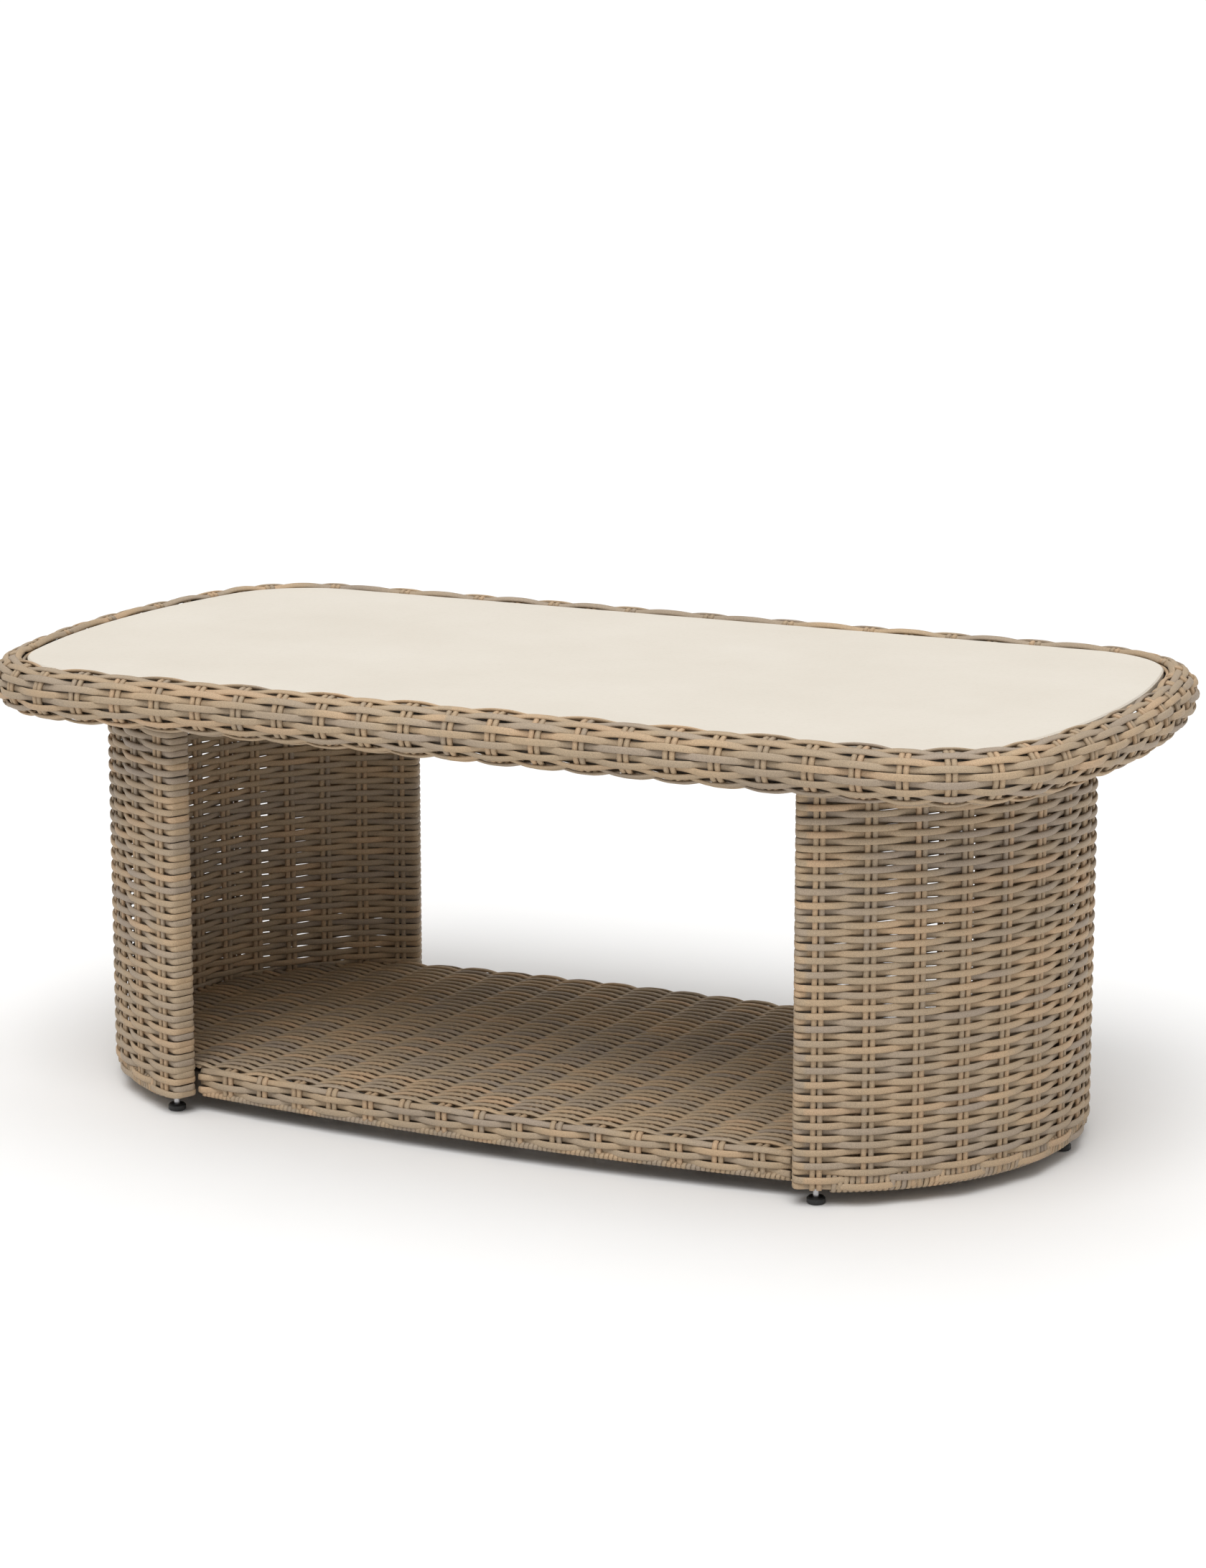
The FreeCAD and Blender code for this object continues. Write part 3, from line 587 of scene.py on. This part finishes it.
def leg_bottom_wrap(side, turn):
    """Strand wound round the leg's bottom tube, hanging just below the last row."""
    half_width, half_height, middle = 0.0130, 0.0098, 0.0240
    thick, pitch, post_room, power = 0.0022, 0.0054, 0.020, 0.6
    reach = POST_ANGLE - post_room / POST_CIRCLE
    part, around = coil(2 * reach * POST_CIRCLE, pitch, per_turn=14)
    angle = -reach + part * 2 * reach
    wide = squared(np.cos(around), power) * half_width
    tall = squared(np.sin(around), power) * half_height
    radius = POST_CIRCLE + wide
    x = (LEG_CENTRE + radius * np.cos(angle)) * turn
    y = radius * np.sin(angle) * turn
    away = unit(np.stack([wide / half_width ** 2, tall / half_height ** 2], -1))
    normals = np.stack([away[:, 0] * np.cos(angle) * turn, away[:, 0] * np.sin(angle) * turn,
                        away[:, 1]], -1)
    wrap = Strands()
    wrap.add(np.stack([x, y, middle + tall], -1), normals, WRAP_WIDTH, thick, sides=WRAP_SIDES)
    wrap.make(f"{side}_leg_bottom_wrap", "frame", WICKER, "wicker")


# ---- the shelf -------------------------------------------------------------------------------


def bow(x):
    """The shelf's depth at x, as a part of its depth in the middle. Past its straight ends, inside
    the legs, it stays the same."""
    x = np.minimum(np.abs(x), 0.346)
    return (DECK_HALF_DEPTH - x * x / (2 * DECK_BOW)) / DECK_HALF_DEPTH


def shelf_section():
    """The weave's line across the shelf, as (y, z): up the front edge, back and down the rear."""
    inset, bottom_z, rounding, step = WAVE + STRAND_THICK / 2, 0.0205, 0.0050, 0.0010
    edge_y, top_z = DECK_HALF_DEPTH - inset, DECK_TOP - inset
    corners = [(-edge_y, bottom_z), (-edge_y, top_z), (edge_y, top_z), (edge_y, bottom_z)]
    return smooth_path(corners, rounding, step)


def shelf_rows(stakes):
    """The shelf's rows, which run along the table and end against the legs' inside."""
    path, lengths = shelf_section()
    nudge, wave, sway, sway_rate = 0.0008, WAVE * 0.95, 0.0003, 18
    end_radius, end_scale, leg_edge_y, edge_reach = 0.2480, 0.922, 0.2280, 0.3290
    total = lengths[-1]
    count = int(total / SHELF_ROW)
    groups = [Strands(), Strands()]
    for row in range(count):
        place = (row + 0.5) * total / count
        y, z = points_at(place, lengths, path)
        way = unit(points_at(place + nudge, lengths, path)
                   - points_at(place - nudge, lengths, path))
        normal = np.array([0, -way[1], way[0]])
        end_y = abs(y) * end_scale
        reach = edge_reach
        if end_y < leg_edge_y:
            reach = LEG_CENTRE + math.sqrt(end_radius ** 2 - end_y ** 2)
        x = np.arange(-reach, reach, STEP)
        height = wave * weave_height(x, stakes, row % 2)
        wobble = sway * np.sin(x * sway_rate + rng.random() * 6)
        points = np.stack([x, y * bow(x) + normal[1] * height + wobble * way[0] ** 2,
                           z + normal[2] * height], -1)
        groups[row * 2 // count].add(points, np.tile(normal, (len(x), 1)), STRAND_WIDTH,
                                     STRAND_THICK)
    front, rear = groups
    front.make("shelf_rows_front", "frame", WICKER, "wicker", ("shelf_front_band", "shelf_deck"))
    rear.make("shelf_rows_rear", "frame", WICKER, "wicker", ("shelf_rear_band",))


def shelf_stakes(stakes):
    """The shelf's pairs of stakes: over both edges between the legs, on the deck alone inside."""
    path, lengths = shelf_section()
    jitter, edge_step, deck_step = 0.0003, 0.003, 0.006
    edge_reach, deck_reach, end_radius, leg_edge_y = 0.3270, 0.4880, 0.2470, 0.2260
    total = lengths[-1]
    ribs = Strands()
    for stake in stakes:
        for side in (-STAKE_HALF_GAP, STAKE_HALF_GAP):
            x = stake + side + rng.normal(0, jitter)
            if abs(x) < edge_reach:
                places = np.arange(0, total, edge_step)
            elif abs(x) < deck_reach:
                half_width = math.sqrt(end_radius ** 2 - (abs(x) - LEG_CENTRE) ** 2)
                half_width = min(half_width, leg_edge_y) / bow(deck_reach)
                places = np.arange(total / 2 - half_width, total / 2 + half_width, deck_step)
            else:
                continue
            spots = points_at(places, lengths, path)
            way = unit(np.gradient(spots, axis=0))
            normals = np.stack([np.zeros(len(way)), -way[:, 1], way[:, 0]], -1)
            points = np.stack([np.full(len(spots), x), spots[:, 0] * bow(x), spots[:, 1]], -1)
            ribs.add_stake(points, normals)
    ribs.make("shelf_stakes", "frame", WICKER, "wicker")


def shelf_edge_wrap():
    """Strand wound round the bottom of each long edge of the shelf."""
    reach, height, ring, ring_inset = 0.3280, 0.0195, 0.0030, 0.0060
    thick, pitch = 0.0020, 0.0050
    wrap = Strands()
    for sign in (-1, 1):
        part, angle = coil(2 * reach, pitch, per_turn=8)
        x = -reach + part * 2 * reach
        edge = DECK_HALF_DEPTH - ring_inset - x * x / (2 * DECK_BOW)
        y = sign * (edge + ring * np.cos(angle))
        z = height + ring * np.sin(angle)
        normals = np.stack([np.zeros(len(x)), sign * np.cos(angle), np.sin(angle)], -1)
        wrap.add(np.stack([x, y, z], -1), normals, WRAP_WIDTH, thick, sides=WRAP_SIDES)
    wrap.make("shelf_edge_wraps", "frame", WICKER, "wicker")


# ---- the setting -----------------------------------------------------------------------------


def aim(thing, place, target):
    """Turns a lamp or camera that stands at a place towards a target, and adds it to the scene."""
    thing.rotation_euler = (target - place).to_track_quat("-Z", "Y").to_euler()
    bpy.context.scene.collection.objects.link(thing)


def add_floor():
    mesh = bpy.data.meshes.new("floor")
    size = 60.0
    mesh.from_pydata([(-size, -size, 0), (size, -size, 0), (size, size, 0), (-size, size, 0)],
                     [], [(0, 1, 2, 3)])
    floor = bpy.data.objects.new("floor", mesh)
    bpy.context.scene.collection.objects.link(floor)
    material, tree, shader = new_material("pale_floor")
    noise = add_noise(tree, scale=1.6, detail=5.0, rough=0.6)
    tint = add_ramp(tree, noise.outputs["Fac"], [
        (0.30, (0.925, 0.922, 0.915)),
        (0.70, (0.945, 0.943, 0.940)),
    ])
    tree.links.new(tint.outputs["Color"], shader.inputs["Base Color"])
    shader.inputs["Roughness"].default_value = 0.7
    mesh.materials.append(material)


def add_lights():
    """A pale world and two wide suns, one over the viewer's shoulder and one overhead."""
    world = bpy.data.worlds.new("studio")
    world.use_nodes = True
    background = next(n for n in world.node_tree.nodes if n.type == "BACKGROUND")
    background.inputs["Color"].default_value = (1.0, 0.998, 0.996, 1)
    background.inputs["Strength"].default_value = 0.50
    bpy.context.scene.world = world
    for name, place, strength, spread in (
        ("front_sun", (0.3, -1.3, 2.2), 1.65, 40),
        ("top_sun", (-0.1, 0.3, 2.0), 0.85, 60),
    ):
        lamp = bpy.data.lights.new(name, "SUN")
        lamp.energy, lamp.angle = strength, math.radians(spread)
        aim(bpy.data.objects.new(name, lamp), Vector(place), Vector((0, 0, 0)))
    bpy.context.scene.view_settings.view_transform = "Standard"


def add_camera():
    camera = bpy.data.cameras.new("camera")
    camera.lens, camera.sensor_width = 94.41, 36.0
    camera.clip_end = 200
    eye = bpy.data.objects.new("camera", camera)
    eye.location = Vector((1.803, -3.673, 1.2006))
    aim(eye, eye.location, Vector((0.0138, 0.0, 0.3282)))
    bpy.context.scene.camera = eye


paint_nodes()
rim_weave()
panel_edge_wrap()
for leg_side, leg_turn in (("right", 1.0), ("left", -1.0)):
    leg_rows(leg_side, leg_turn)
    leg_stakes(leg_side, leg_turn)
    leg_bottom_wrap(leg_side, leg_turn)
shelf_pairs = np.arange(-14, 15) * 0.0420
shelf_rows(shelf_pairs)
shelf_stakes(shelf_pairs)
shelf_edge_wrap()
add_floor()
add_lights()
add_camera()
